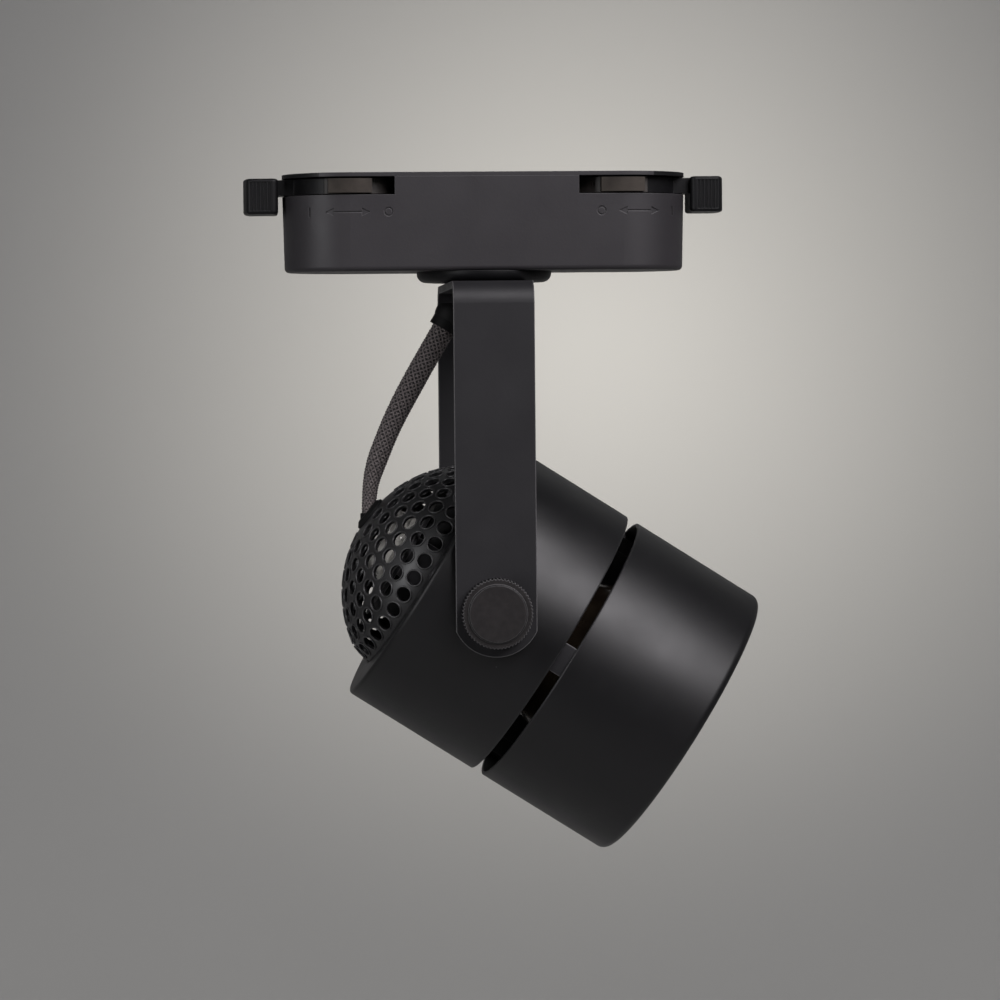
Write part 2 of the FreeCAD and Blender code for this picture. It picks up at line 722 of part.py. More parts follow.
def make_holder_screw(sign):
    y = sign * 15.0
    screw = cyl_x(1.5, -28.2, -25.0, y).fuse(cyl_x(2.6, -29.4, -28.2, y))
    return screw.cut(box(-29.6, -29.0, y - 3, y + 3, -0.3, 0.3)).removeSplitter()


def make_holder_sleeve():
    tube = cyl_x(14.4, -24.6, -3.4).cut(cyl_x(13.95, -25, 0))
    return tube


def make_holder_contact():
    base = cyl_x(3.0, -24.6, -23.9)
    tongue = box(-23.9, -23.5, -1.6, 1.6, -3.4, 3.4)
    return base.fuse(tongue).removeSplitter()


def make_pivot_nut(sign):
    r_in = HEAD_R - SHELL_T
    nut = hex_z(9.0, -60, 60)
    nut.rotate(V(0, 0, 0), V(1, 0, 0), 90)
    nut = nut.common(cyl_x(r_in, -20, 20))
    if sign < 0:
        nut = nut.common(box(-20, 20, -r_in, -35.4, -20, 20))
    else:
        nut = nut.common(box(-20, 20, 35.4, r_in, -20, 20))
    return nut.cut(cyl_y(SCREW_R + SCREW_FIT, -60, 60))


def make_friction_washer(sign):
    """Saddle washer between the shell and the yoke arm."""
    outer = YOKE_OUT_Y - YOKE_T - GAP
    if sign < 0:
        disc = cyl_y(7.0, -outer, -30)
    else:
        disc = cyl_y(7.0, 30, outer)
    disc = disc.cut(cyl_x(HEAD_R, -30, 30))
    return disc.cut(cyl_y(SCREW_R + SCREW_FIT, -60, 60))


# ---------------------------------------------------------------- knobs

def star_points(r_out, r_in, teeth):
    pts = []
    for i in range(2 * teeth):
        r = r_out if i % 2 == 0 else r_in
        a = math.pi * i / teeth
        pts.append((r * math.cos(a), r * math.sin(a)))
    return pts


def make_knob_cap():
    """Near knob: knurled rim and a raised flat face with a fine edge."""
    edge = 0.3
    body = prism_z(star_points(KNOB_R, KNOB_R - 0.5, KNOB_TEETH), 0, KNOB_H - KNOB_STEP)
    face = cyl_z(KNOB_FACE_R, KNOB_H - KNOB_STEP - 1, KNOB_H - edge)
    crown = cone_z(KNOB_FACE_R, KNOB_FACE_R - edge, KNOB_H - edge, KNOB_H)
    body = body.fuse([face, crown])
    body = body.cut(cyl_z(SCREW_R, -1, KNOB_H - 1.6))
    body.rotate(V(0, 0, 0), V(1, 0, 0), 90)
    body.translate(V(0, -YOKE_OUT_Y - GAP, PIVOT_Z))
    return body.removeSplitter()


def make_knob_screw():
    """Near clamp screw from the knob through the yoke and shell into the nut."""
    y_end = YOKE_OUT_Y + GAP + KNOB_H - 1.6
    return cyl_y(SCREW_R, -y_end, -33.6, 0, PIVOT_Z)


# ---------------------------------------------------------------- lamp

def make_lamp_reflector():
    """Glass reflector bowl with its neck."""
    outer = [
        (4.0, 13.4), (8.0, 14.2), (14.0, 16.4), (22.0, 20.2), (31.0, 24.6),
        (40.0, 28.4), (48.0, 31.0), (52.0, 32.1), (54.6, 32.1),
    ]
    inner = [(s + 0.6, r - 1.4) for s, r in outer[:-2]]
    inner += [(52.0, 30.7), (54.6, 30.7)]
    return revolve_x(outer + list(reversed(inner)))


def make_lamp_lens():
    pts = [(54.6, 0), (54.6, 32.1), (56.2, 32.1), (57.6, 31.0), (58.6, 26.0), (59.5, 18.0), (60.0, 9.0), (60.2, 0)]
    return revolve_x(pts)


def make_lamp_base():
    """Screw base with rounded thread ridges."""
    outer = [(4.0, 13.2)]
    s = 3.0
    for i in range(6):
        outer += [(s, 13.6), (s - 1.8, 12.4)]
        s -= 3.6
    outer += [(-19.0, 12.0), (-21.0, 8.0)]
    inner = [(-20.0, 7.6), (-18.2, 11.2), (4.0, 11.2)]
    return revolve_x(outer + inner)


def make_lamp_insulator():
    return revolve_x([(-20.0, 0), (-20.0, 7.6), (-21.0, 8.0), (-22.6, 4.6), (-22.6, 0)])


def make_lamp_contact():
    return revolve_x([(-22.6, 0), (-22.6, 3.6), (-23.2, 2.6), (-23.2, 0)])


# ---------------------------------------------------------------- export

def export_adapter():
    export("adapter_housing", make_housing())
    export("adapter_cover", make_cover())
    export("swivel_collar", make_collar())
    export("terminal_block", make_terminal_block())
    for name, y in (("near", -4.0), ("far", 4.0)):
        export("terminal_screw_" + name, make_terminal_screw(y))
    for name, sign in (("left", -1), ("right", 1)):
        export("end_pad_" + name, make_end_pad(sign))
        export("feed_spring_" + name, make_feed_spring(sign))
    for name, sign in (("near", -1), ("far", 1)):
        export("cover_screw_" + name, make_cover_screw(sign))


def export_levers():
    makers = (
        ("lock_lever", make_lever_left),
        ("contact_rotor", make_rotor_left),
        ("contact_tongue", make_tongue_left),
    )
    for name, maker in makers:
        shape = maker()
        export(name + "_left", shape)
        export(name + "_right", mirror_x(shape))


def export_yoke():
    export("yoke_bracket", make_yoke())
    export("swivel_stem", make_stem())
    export("stop_washer", make_stop_washer())
    export("stem_nut", make_stem_nut())
    export("yoke_nut", make_yoke_nut())
    export("lead_boot", make_lead_boot())
    export("lead", make_lead())


def export_head():
    export("rear_shell", place_head(make_rear_shell()))
    export("rear_rim", place_head(make_rear_rim()))
    export("front_shell", place_head(make_front_shell()))
    for i, angle in enumerate(STRAP_ANGLES):
        export("shell_strap_%d" % (i + 1), place_head(make_strap(angle)))
    export("vent_dome", place_head(make_dome()))
    export("dome_ring", place_head(make_dome_ring()))
    export("dome_gland", make_gland())
    export("holder_bracket", place_head(make_bracket()))
    export("holder_body", place_head(make_holder_body()))
    export("holder_terminal", place_head(make_holder_terminal()))
    export("holder_sleeve", place_head(make_holder_sleeve()))
    export("holder_contact", place_head(make_holder_contact()))
    for name, sign in (("near", -1), ("far", 1)):
        export("bracket_rivet_" + name, place_head(make_bracket_rivet(sign)))
        export("holder_screw_" + name, place_head(make_holder_screw(sign)))
        export("pivot_nut_" + name, place_head(make_pivot_nut(sign)))
        export("friction_washer_" + name, place_head(make_friction_washer(sign)))
    for name, sign in (("lower", -1), ("upper", 1)):
        export("terminal_pin_" + name, place_head(make_terminal_pin(sign)))


def export_knobs():
    cap = make_knob_cap()
    screw = make_knob_screw()
    export("knob_cap_near", cap)
    export("knob_screw_near", screw)
    export("knob_cap_far", mirror_y(cap))
    export("knob_screw_far", mirror_y(screw))


def export_lamp():
    export("lamp_reflector", place_head(make_lamp_reflector()))
    export("lamp_lens", place_head(make_lamp_lens()))
    export("lamp_base", place_head(make_lamp_base()))
    export("lamp_insulator", place_head(make_lamp_insulator()))
    export("lamp_contact", place_head(make_lamp_contact()))


export_adapter()
export_levers()
export_yoke()
export_head()
export_knobs()
export_lamp()
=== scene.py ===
"""Studio scene of the track spotlight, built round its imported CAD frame."""
import json
import math

import bmesh
import bpy
from mathutils import Matrix, Vector


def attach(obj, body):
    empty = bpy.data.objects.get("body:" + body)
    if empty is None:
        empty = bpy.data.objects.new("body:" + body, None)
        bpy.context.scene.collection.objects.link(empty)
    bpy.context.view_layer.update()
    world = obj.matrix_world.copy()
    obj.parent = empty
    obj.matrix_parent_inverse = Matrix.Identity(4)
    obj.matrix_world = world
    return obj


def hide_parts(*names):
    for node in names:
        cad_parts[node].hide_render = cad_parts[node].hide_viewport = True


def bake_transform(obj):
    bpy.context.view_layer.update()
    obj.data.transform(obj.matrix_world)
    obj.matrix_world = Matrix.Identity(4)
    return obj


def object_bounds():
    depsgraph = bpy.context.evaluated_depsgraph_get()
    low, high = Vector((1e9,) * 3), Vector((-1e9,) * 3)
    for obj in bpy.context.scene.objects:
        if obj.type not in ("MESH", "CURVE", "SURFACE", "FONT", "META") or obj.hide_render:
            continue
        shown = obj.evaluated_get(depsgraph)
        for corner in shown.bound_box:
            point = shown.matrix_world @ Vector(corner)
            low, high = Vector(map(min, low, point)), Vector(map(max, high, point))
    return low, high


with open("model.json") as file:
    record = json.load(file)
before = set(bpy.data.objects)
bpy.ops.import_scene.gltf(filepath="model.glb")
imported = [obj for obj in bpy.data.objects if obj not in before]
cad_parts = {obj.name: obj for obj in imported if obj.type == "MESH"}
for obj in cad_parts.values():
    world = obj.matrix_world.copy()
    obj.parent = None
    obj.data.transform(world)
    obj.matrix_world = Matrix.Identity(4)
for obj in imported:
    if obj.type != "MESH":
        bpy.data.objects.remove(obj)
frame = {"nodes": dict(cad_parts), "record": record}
cad_low, cad_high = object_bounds()

MM = 0.001
TILT = math.radians(32.5)
PIVOT = Vector((0.0, 0.0, -0.1195))
HEAD_MATRIX = Matrix.Translation(PIVOT) @ Matrix.Rotation(TILT, 4, "Y")

# The camera stands on the near side, a little to the left and just below the adapter.
CAMERA_AT = Vector((-66.81, -1117.15, -53.57)) * MM
CAMERA_RIGHT = Vector((0.997944, -0.063495, -0.008736))
CAMERA_UP = Vector((0.010817, 0.032506, 0.999413))
LENS_MM = 144.41

# Lead route in millimetres, from the boot under the yoke to the dome's grip.
LEAD_ROUTE = [
    (-9.1, 0.0, -39.0),
    (-22.6, 0.0, -61.4),
    (-30.2, 0.0, -78.4),
    (-32.8, 0.0, -88.2),
    (-32.6, 0.0, -95.0),
]
LEAD_D = 6.5

# Where the braid narrows, as (from, to) shares of its length, and by how much of its radius.
LEAD_NARROWING = ((0.35, 0.7, 0.35), (0.7, 0.93, 0.85))
BRAID_INSET = 0.16
BRAID_PITCH = 0.021
BRAID_STEP = 0.00035
CORE_INSET = 0.0003
CORE_STEP = 0.0012

# A flat yarn's section, as (share of its half width, height over its middle line).
YARN_SECTION = ((-1.0, -0.00018), (-0.5, 0.0), (0.0, 0.00006), (0.5, 0.0), (1.0, -0.00018))

# Barrel shells in millimetres along the head's axis.
HEAD_R = 41.25
HEAD_IN_R = 40.15
REAR_S = -19.8
REAR_OPEN_R = 31.6
REAR_FRONT_S = 20.6
FRONT_REAR_S = 24.0
FRONT_S = 64.4
FRONT_IN_S = 63.3
FRONT_LIP_R = 37.6
RIVET_Y = 36.3

# Rear dome in millimetres along the head's axis: a wide cap with a tighter shoulder.
DOME_BASE_S = -18.7
DOME_DEPTH = 22.5
DOME_R = 31.0
DOME_CAP_R = 35.5
DOME_SHOULDER_R = 14.5
HOLE_R = 2.05
HOLE_PITCH = 5.35
HOLE_RINGS = 7
GLAND_R_OFF = 4.0
GLAND_R = 5.1
RIM_OUT = 0.14
RIM_R = 0.24
RIM_SINK = 0.04


# ------------------------------------------------------------------ shaders

class Nodes:
    """Small helper round one material's node tree."""

    def __init__(self, name):
        self.material = bpy.data.materials.new(name)
        self.material.use_nodes = True
        self.tree = self.material.node_tree
        self.tree.nodes.clear()
        self.out = self.new("ShaderNodeOutputMaterial")
        self.shader = self.new("ShaderNodeBsdfPrincipled")
        self.link(self.shader, "BSDF", self.out, "Surface")
        self.coords = self.new("ShaderNodeTexCoord")

    def new(self, kind, **settings):
        node = self.tree.nodes.new(kind)
        for key, value in settings.items():
            setattr(node, key, value)
        return node

    def link(self, a, out, b, into):
        self.tree.links.new(a.outputs[out], b.inputs[into])

    def noise(self, scale, detail=3.0, rough=0.55, stretch=None):
        node = self.new("ShaderNodeTexNoise")
        node.inputs["Scale"].default_value = scale
        node.inputs["Detail"].default_value = detail
        node.inputs["Roughness"].default_value = rough
        if stretch is None:
            self.link(self.coords, "Object", node, "Vector")
        else:
            mapping = self.new("ShaderNodeMapping")
            mapping.inputs["Scale"].default_value = stretch
            self.link(self.coords, "Object", mapping, "Vector")
            self.link(mapping, "Vector", node, "Vector")
        return node

    def ramp(self, source, out, low, high, a=0.0, b=1.0):
        node = self.new("ShaderNodeMapRange")
        node.inputs["From Min"].default_value = low
        node.inputs["From Max"].default_value = high
        node.inputs["To Min"].default_value = a
        node.inputs["To Max"].default_value = b
        self.link(source, out, node, "Value")
        return node

    def mix_colour(self, factor, out, a, b):
        node = self.new("ShaderNodeMix", data_type="RGBA")
        self.tree.links.new(factor.outputs[out], node.inputs["Factor"])
        node.inputs["A"].default_value = (*a, 1.0)
        node.inputs["B"].default_value = (*b, 1.0)
        return node

    def bump(self, source, out, strength, distance, after=None):
        node = self.new("ShaderNodeBump")
        node.inputs["Strength"].default_value = strength
        node.inputs["Distance"].default_value = distance
        self.link(source, out, node, "Height")
        if after is not None:
            self.link(after, "Normal", node, "Normal")
        return node


def bevelled(m, radius):
    """Normals that round off the edges, and how far each spot is turned by it."""
    bevel = m.new("ShaderNodeBevel", samples=6)
    bevel.inputs["Radius"].default_value = radius
    geometry = m.new("ShaderNodeNewGeometry")
    turned = m.new("ShaderNodeVectorMath", operation="DOT_PRODUCT")
    m.tree.links.new(bevel.outputs["Normal"], turned.inputs[0])
    m.tree.links.new(geometry.outputs["Normal"], turned.inputs[1])
    return bevel, turned


def blend_colour(m, factor, under, over):
    """Lay a plain colour over a coloured output by a factor output."""
    mix = m.new("ShaderNodeMix", data_type="RGBA")
    m.tree.links.new(factor, mix.inputs["Factor"])
    m.tree.links.new(under, mix.inputs["A"])
    mix.inputs["B"].default_value = (*over, 1.0)
    return mix.outputs["Result"]


def dust_specks(m):
    """Mask of sparse pale dust specks."""
    specks = m.new("ShaderNodeTexVoronoi", feature="F1")
    specks.inputs["Scale"].default_value = 420.0
    m.link(m.coords, "Object", specks, "Vector")
    near = m.ramp(specks, "Distance", 0.05, 0.02)
    some = m.ramp(m.noise(95.0, 1.0), "Fac", 0.66, 0.7)
    both = m.new("ShaderNodeMath", operation="MULTIPLY")
    m.tree.links.new(near.outputs["Result"], both.inputs[0])
    m.tree.links.new(some.outputs["Result"], both.inputs[1])
    return both.outputs[0]


def painted(
        name, colour, worn, rough, grain=900.0, depth=0.00002, dust=0.0, edge=0.0,
        spec=0.3, radius=0.00025):
    """Sprayed or moulded skin: soft colour drift, fine grain, dust specks and paler edges that are painted
    edge highlights.
    """
    m = Nodes(name)
    drift = m.noise(28.0, 4.0)
    colour_out = m.mix_colour(m.ramp(drift, "Fac", 0.35, 0.7), "Result", colour, worn).outputs["Result"]
    if dust > 0.0:
        colour_out = blend_colour(m, dust_specks(m), colour_out, (dust, dust, dust))
    bevel, turned = bevelled(m, radius)
    # Paler colour on bevelled edges is a painted edge highlight.
    if edge > 0.0:
        edge_highlight = m.ramp(turned, "Value", 0.985, 0.85, 0.0, edge)
        colour_out = blend_colour(m, edge_highlight.outputs["Result"], colour_out, EDGE_HIGHLIGHT_COLOUR)
    m.tree.links.new(colour_out, m.shader.inputs["Base Color"])
    gloss = m.noise(60.0, 5.0)
    m.link(m.ramp(gloss, "Fac", 0.3, 0.7, rough - 0.04, rough + 0.05), "Result", m.shader, "Roughness")
    fine_bump = m.bump(m.noise(grain, 2.0, 0.6), "Fac", 0.5, depth, bevel)
    wide_bump = m.bump(m.noise(grain * 0.16, 2.0, 0.5), "Fac", 0.2, depth * 2.0, fine_bump)
    m.link(wide_bump, "Normal", m.shader, "Normal")
    m.shader.inputs["Specular IOR Level"].default_value = spec
    return m.material


def knob_finish(name):
    """Clamp knob: turned, slightly brown face and a darker knurled rim."""
    m = Nodes(name)
    normal = m.new("ShaderNodeSeparateXYZ")
    m.link(m.coords, "Normal", normal, "Vector")
    facing = m.new("ShaderNodeMath", operation="ABSOLUTE")
    m.tree.links.new(normal.outputs["Y"], facing.inputs[0])
    face = m.ramp(facing, "Value", 0.85, 0.95)
    drift = m.mix_colour(m.ramp(m.noise(500.0, 4.0), "Fac", 0.35, 0.7), "Result", KNOB_FACE, KNOB_FACE_WORN)
    rim = m.new("ShaderNodeMix", data_type="RGBA")
    m.tree.links.new(face.outputs["Result"], rim.inputs["Factor"])
    rim.inputs["A"].default_value = (*KNOB_RIM, 1.0)
    m.tree.links.new(drift.outputs["Result"], rim.inputs["B"])
    bevel, turned = bevelled(m, 0.0004)
    # Paler bevelled edges here are a painted edge highlight.
    edge_highlight = m.ramp(turned, "Value", 0.985, 0.85, 0.0, 0.55)
    colour_out = blend_colour(m, edge_highlight.outputs["Result"], rim.outputs["Result"], EDGE_HIGHLIGHT_COLOUR)
    m.tree.links.new(colour_out, m.shader.inputs["Base Color"])
    shift = m.new("ShaderNodeMapping")
    shift.inputs["Location"].default_value = -PIVOT
    m.link(m.coords, "Object", shift, "Vector")
    rings = m.new("ShaderNodeTexWave", wave_type="RINGS", rings_direction="Y")
    rings.inputs["Scale"].default_value = 1100.0
    rings.inputs["Distortion"].default_value = 0.8
    m.link(shift, "Vector", rings, "Vector")
    first = m.bump(rings, "Fac", 0.35, 0.00002, bevel)
    m.link(m.bump(m.noise(1400.0, 2.0), "Fac", 0.5, 0.00003, first), "Normal", m.shader, "Normal")
    m.link(m.ramp(rings, "Fac", 0.0, 1.0, 0.42, 0.54), "Result", m.shader, "Roughness")
    m.shader.inputs["Specular IOR Level"].default_value = 0.16
    return m.material


def plated(name, colour, dull, rough, stretch=(1.0, 1.0, 12.0)):
    """Bright metal with drawn scratches and darker tarnish patches."""
    m = Nodes(name)
    patch = m.noise(140.0, 4.0)
    shade = m.mix_colour(m.ramp(patch, "Fac", 0.4, 0.75), "Result", colour, dull)
    m.tree.links.new(shade.outputs["Result"], m.shader.inputs["Base Color"])
    lines = m.noise(700.0, 3.0, 0.6, stretch)
    m.link(m.ramp(lines, "Fac", 0.3, 0.7, rough - 0.06, rough + 0.12), "Result", m.shader, "Roughness")
    m.link(m.bump(lines, "Fac", 0.3, 0.00002), "Normal", m.shader, "Normal")
    m.shader.inputs["Metallic"].default_value = 1.0
    return m.material


def glazed(name):
    """Porcelain with a clear glaze and a soft drift of tone, its white darkened to pale grey as painted
    shade for its place inside the dome.
    """
    m = Nodes(name)
    patch = m.noise(90.0, 3.0)
    # Pale grey instead of white: painted shade inside the dome.
    shade = m.mix_colour(m.ramp(patch, "Fac", 0.35, 0.7), "Result", (0.5, 0.485, 0.45), (0.62, 0.61, 0.58))
    m.tree.links.new(shade.outputs["Result"], m.shader.inputs["Base Color"])
    wave = m.noise(160.0, 2.0)
    m.link(m.ramp(wave, "Fac", 0.3, 0.7, 0.12, 0.24), "Result", m.shader, "Roughness")
    m.link(m.bump(wave, "Fac", 0.2, 0.00006), "Normal", m.shader, "Normal")
    m.shader.inputs["Coat Weight"].default_value = 0.6
    m.shader.inputs["Coat Roughness"].default_value = 0.08
    return m.material


def reflector_glass(name):
    """Smoked reflector glass over an amber coating."""
    m = Nodes(name)
    band = m.noise(45.0, 3.0)
    shade = m.mix_colour(
        m.ramp(band, "Fac", 0.35, 0.68), "Result", (0.018, 0.012, 0.008), (0.07, 0.052, 0.034))
    m.tree.links.new(shade.outputs["Result"], m.shader.inputs["Base Color"])
    streak = m.noise(220.0, 3.0)
    m.link(m.ramp(streak, "Fac", 0.3, 0.7, 0.16, 0.28), "Result", m.shader, "Roughness")
    m.link(m.bump(streak, "Fac", 0.15, 0.00005), "Normal", m.shader, "Normal")
    m.shader.inputs["Metallic"].default_value = 0.6
    m.shader.inputs["Coat Weight"].default_value = 0.3
    return m.material


def lens_glass(name):
    """Pressed front lens with a stipple of small lenslets."""
    m = Nodes(name)
    cells = m.new("ShaderNodeTexVoronoi", feature="SMOOTH_F1")
    cells.inputs["Scale"].default_value = 330.0
    m.link(m.coords, "Object", cells, "Vector")
    tint = m.noise(30.0, 2.0)
    shade = m.mix_colour(m.ramp(tint, "Fac", 0.4, 0.65), "Result", (0.74, 0.76, 0.78), (0.84, 0.85, 0.86))
    m.tree.links.new(shade.outputs["Result"], m.shader.inputs["Base Color"])
    m.link(m.ramp(cells, "Distance", 0.0, 0.7, 0.1, 0.24), "Result", m.shader, "Roughness")
    m.link(m.bump(cells, "Distance", 0.6, 0.0003), "Normal", m.shader, "Normal")
    m.shader.inputs["Transmission Weight"].default_value = 0.55
    m.shader.inputs["IOR"].default_value = 1.48
    return m.material


def braided(name):
    """Braid yarn: fine filaments, with painted shade between yarns and a painted highlight on their crowns.
    """
    m = Nodes(name)
    uv = m.new("ShaderNodeUVMap")
    across = m.new("ShaderNodeSeparateXYZ")
    m.link(uv, "UV", across, "Vector")
    crown = m.new("ShaderNodeMath", operation="PINGPONG")
    m.tree.links.new(across.outputs["X"], crown.inputs[0])
    crown.inputs[1].default_value = 0.5
    filaments = m.new("ShaderNodeTexWave", wave_type="BANDS", bands_direction="X")
    filaments.inputs["Scale"].default_value = 1.6
    filaments.inputs["Distortion"].default_value = 0.6
    m.link(uv, "UV", filaments, "Vector")
    fleck = m.noise(2600.0, 2.0)
    # Painted light: yarn crowns lighter as a highlight, yarn edges darker as shade between yarns; the fleck
    # adds random tone.
    painted_crown_light = m.new("ShaderNodeMath", operation="MULTIPLY")
    m.tree.links.new(m.ramp(crown, "Value", 0.12, 0.42).outputs["Result"], painted_crown_light.inputs[0])
    m.tree.links.new(m.ramp(fleck, "Fac", 0.38, 0.66, 0.55, 1.0).outputs["Result"], painted_crown_light.inputs[1])
    shade = m.mix_colour(painted_crown_light, "Value", (0.004, 0.0037, 0.004), (0.15, 0.13, 0.128))
    m.tree.links.new(shade.outputs["Result"], m.shader.inputs["Base Color"])
    m.link(m.ramp(filaments, "Fac", 0.0, 1.0, 0.6, 0.8), "Result", m.shader, "Roughness")
    first = m.bump(filaments, "Fac", 0.5, 0.00003)
    m.link(m.bump(fleck, "Fac", 0.3, 0.00002, first), "Normal", m.shader, "Normal")
    m.shader.inputs["Specular IOR Level"].default_value = 0.25
    m.shader.inputs["Sheen Weight"].default_value = 0.15
    m.shader.inputs["Sheen Roughness"].default_value = 0.4
    return m.material


# Pale colour of the painted edge highlight on bevelled edges.
EDGE_HIGHLIGHT_COLOUR = (0.15, 0.147, 0.15)
KNOB_FACE = (0.0105, 0.0095, 0.0097)
KNOB_FACE_WORN = (0.0155, 0.014, 0.014)
KNOB_RIM = (0.0045, 0.0044, 0.0046)

MATERIALS = {
    "adapter_grey": painted(
        "adapter_grey", (0.017, 0.0155, 0.0175), (0.02, 0.0185, 0.0205), rough=0.5,
        grain=1500.0, depth=0.00004, dust=0.07, edge=0.25, spec=0.3),
    "black_plastic": painted(
        "black_plastic", (0.0032, 0.0032, 0.0036), (0.0044, 0.0044, 0.0049), rough=0.45,
        grain=1300.0, depth=0.00003, dust=0.06, edge=0.15, spec=0.14),
    "rotor_plastic": painted(
        "rotor_plastic", (0.026, 0.023, 0.021), (0.036, 0.032, 0.029), rough=0.55,
        grain=1300.0, depth=0.00004),
    "terminal_plastic": painted(
        "terminal_plastic", (0.62, 0.6, 0.54), (0.7, 0.68, 0.62), rough=0.45),
    "black_steel": painted(
        "black_steel", (0.0065, 0.0062, 0.0074), (0.0078, 0.0074, 0.0088), rough=0.5,
        grain=1100.0, depth=0.00003, dust=0.14, edge=0.9, spec=0.3, radius=0.00045),
    "black_barrel": painted(
        "black_barrel", (0.0017, 0.0016, 0.0021), (0.0023, 0.0022, 0.0027), rough=0.42,
        grain=800.0, depth=0.00001, dust=0.16, edge=0.8, spec=0.3, radius=0.0006),
    "black_mesh": painted(
        "black_mesh", (0.0035, 0.0034, 0.004), (0.0045, 0.0043, 0.005), rough=0.42,
        grain=800.0, depth=0.00001, edge=0.5, spec=0.55),
    "black_rubber": painted(
        "black_rubber", (0.0025, 0.0025, 0.0026), (0.0038, 0.0038, 0.0039), rough=0.62,
        grain=900.0, depth=0.00004, spec=0.12),
    "tongue_metal": plated("tongue_metal", (0.048, 0.042, 0.037), (0.028, 0.025, 0.023), rough=0.6),
    "contact_brass": plated("contact_brass", (0.55, 0.38, 0.17), (0.32, 0.21, 0.1), rough=0.3),
    "zinc_steel": plated("zinc_steel", (0.5, 0.5, 0.5), (0.36, 0.36, 0.37), rough=0.34),
    "lamp_metal": plated(
        "lamp_metal", (0.72, 0.7, 0.64), (0.55, 0.53, 0.48), rough=0.28, stretch=(12.0, 1.0, 1.0)),
    "lamp_insulator": painted(
        "lamp_insulator", (0.02, 0.02, 0.045), (0.03, 0.03, 0.06), rough=0.2),
    "porcelain": glazed("porcelain"),
    "lamp_glass": reflector_glass("lamp_glass"),
    "lens_glass": lens_glass("lens_glass"),
    "braid": braided("braid"),
}
KNOB_MATERIAL = knob_finish("knob_plastic")


def dress_cad_nodes():
    """Give each CAD node the procedural finish of its slot."""
    slots = {row["node"]: row["material_slot"] for row in frame["record"]["subparts"]}
    for name, obj in frame["nodes"].items():
        finish = KNOB_MATERIAL if name.startswith("knob_cap") else MATERIALS[slots[name]]
        obj.data.materials.clear()
        obj.data.materials.append(finish)


# ------------------------------------------------------------------ meshes

def add_object(name, mesh, body, slot_name, matrix=None):
    """Put a finished mesh in the scene, riding on a body in its slot's finish."""
    if matrix is not None:
        mesh.transform(matrix)
    obj = bpy.data.objects.new(name, mesh)
    bpy.context.scene.collection.objects.link(obj)
    mesh.materials.clear()
    mesh.materials.append(MATERIALS[slot_name])
    if body is not None:
        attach(obj, body)
    return obj


def mesh_from(bm, name, smooth=True, sharp_deg=38.0):
    bmesh.ops.recalc_face_normals(bm, faces=bm.faces)
    for face in bm.faces:
        face.smooth = smooth
    limit = math.radians(sharp_deg)
    for edge in bm.edges:
        if len(edge.link_faces) == 2 and edge.calc_face_angle(0.0) > limit:
            edge.smooth = False
    mesh = bpy.data.meshes.new(name)
    bm.to_mesh(mesh)
    bm.free()
    return mesh


def rounded(corners, steps=5):
    """Replace each (s, r, fillet) corner by a small arc; the outline is closed."""
    out = []
    count = len(corners)
    for i in range(count):
        here = Vector(corners[i][:2])
        before = Vector(corners[i - 1][:2])
        after = Vector(corners[(i + 1) % count][:2])
        fillet = corners[i][2]
        if fillet <= 0.0:
            out.append(tuple(here))
            continue
        a = (before - here).normalized()
        b = (after - here).normalized()
        angle = a.angle(b)
        if angle > math.pi - 0.02:
            out.append(tuple(here))
            continue
        cut = fillet / math.tan(angle / 2.0)
        centre = here + (a + b).normalized() * (fillet / math.sin(angle / 2.0))
        p0 = here + a * cut - centre
        p1 = here + b * cut - centre
        sweep = p0.angle_signed(p1)
        for k in range(steps + 1):
            turn = -sweep * k / steps
            c, s = math.cos(turn), math.sin(turn)
            out.append((centre.x + p0.x * c - p0.y * s, centre.y + p0.x * s + p0.y * c))
    return out


def lathe(name, outline, segments=180):
    """Revolve a closed (s, r) outline in millimetres about the X axis."""
    bm = bmesh.new()
    rings = []
    for s, r in outline:
        ring = []
        for i in range(segments):
            a = 2.0 * math.pi * i / segments
            ring.append(bm.verts.new((s * MM, r * math.sin(a) * MM, r * math.cos(a) * MM)))
        rings.append(ring)
    for j in range(len(rings)):
        low, high = rings[j], rings[(j + 1) % len(rings)]
        for i in range(segments):
            k = (i + 1) % segments
            bm.faces.new((low[i], low[k], high[k], high[i]))
    return mesh_from(bm, name)


# ------------------------------------------------------------------ head

def make_shells():
    """The two barrel shells as smooth lathed pieces with soft rims."""
    rear = rounded([
        (REAR_S, REAR_OPEN_R, 0.3), (REAR_S, HEAD_R, 1.1),
        (REAR_FRONT_S, HEAD_R, 0.35), (REAR_FRONT_S, HEAD_IN_R, 0.2),
        (DOME_BASE_S, HEAD_IN_R, 0.4), (DOME_BASE_S, REAR_OPEN_R, 0.3),
    ])
    front = rounded([
        (FRONT_REAR_S, HEAD_IN_R, 0.2), (FRONT_REAR_S, HEAD_R, 0.35),
        (FRONT_S, HEAD_R, 2.2), (FRONT_S, FRONT_LIP_R, 0.4),
        (FRONT_IN_S, FRONT_LIP_R, 0.4), (FRONT_IN_S, HEAD_IN_R, 0.9),
    ])
    for name, outline in (("rear_shell", rear), ("front_shell", front)):
        mesh = lathe(name + "_smooth", outline)
        obj = add_object(name + "_smooth", mesh, "head", "black_barrel", HEAD_MATRIX)
        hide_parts(name)
        if name == "rear_shell":
            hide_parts("rear_rim")


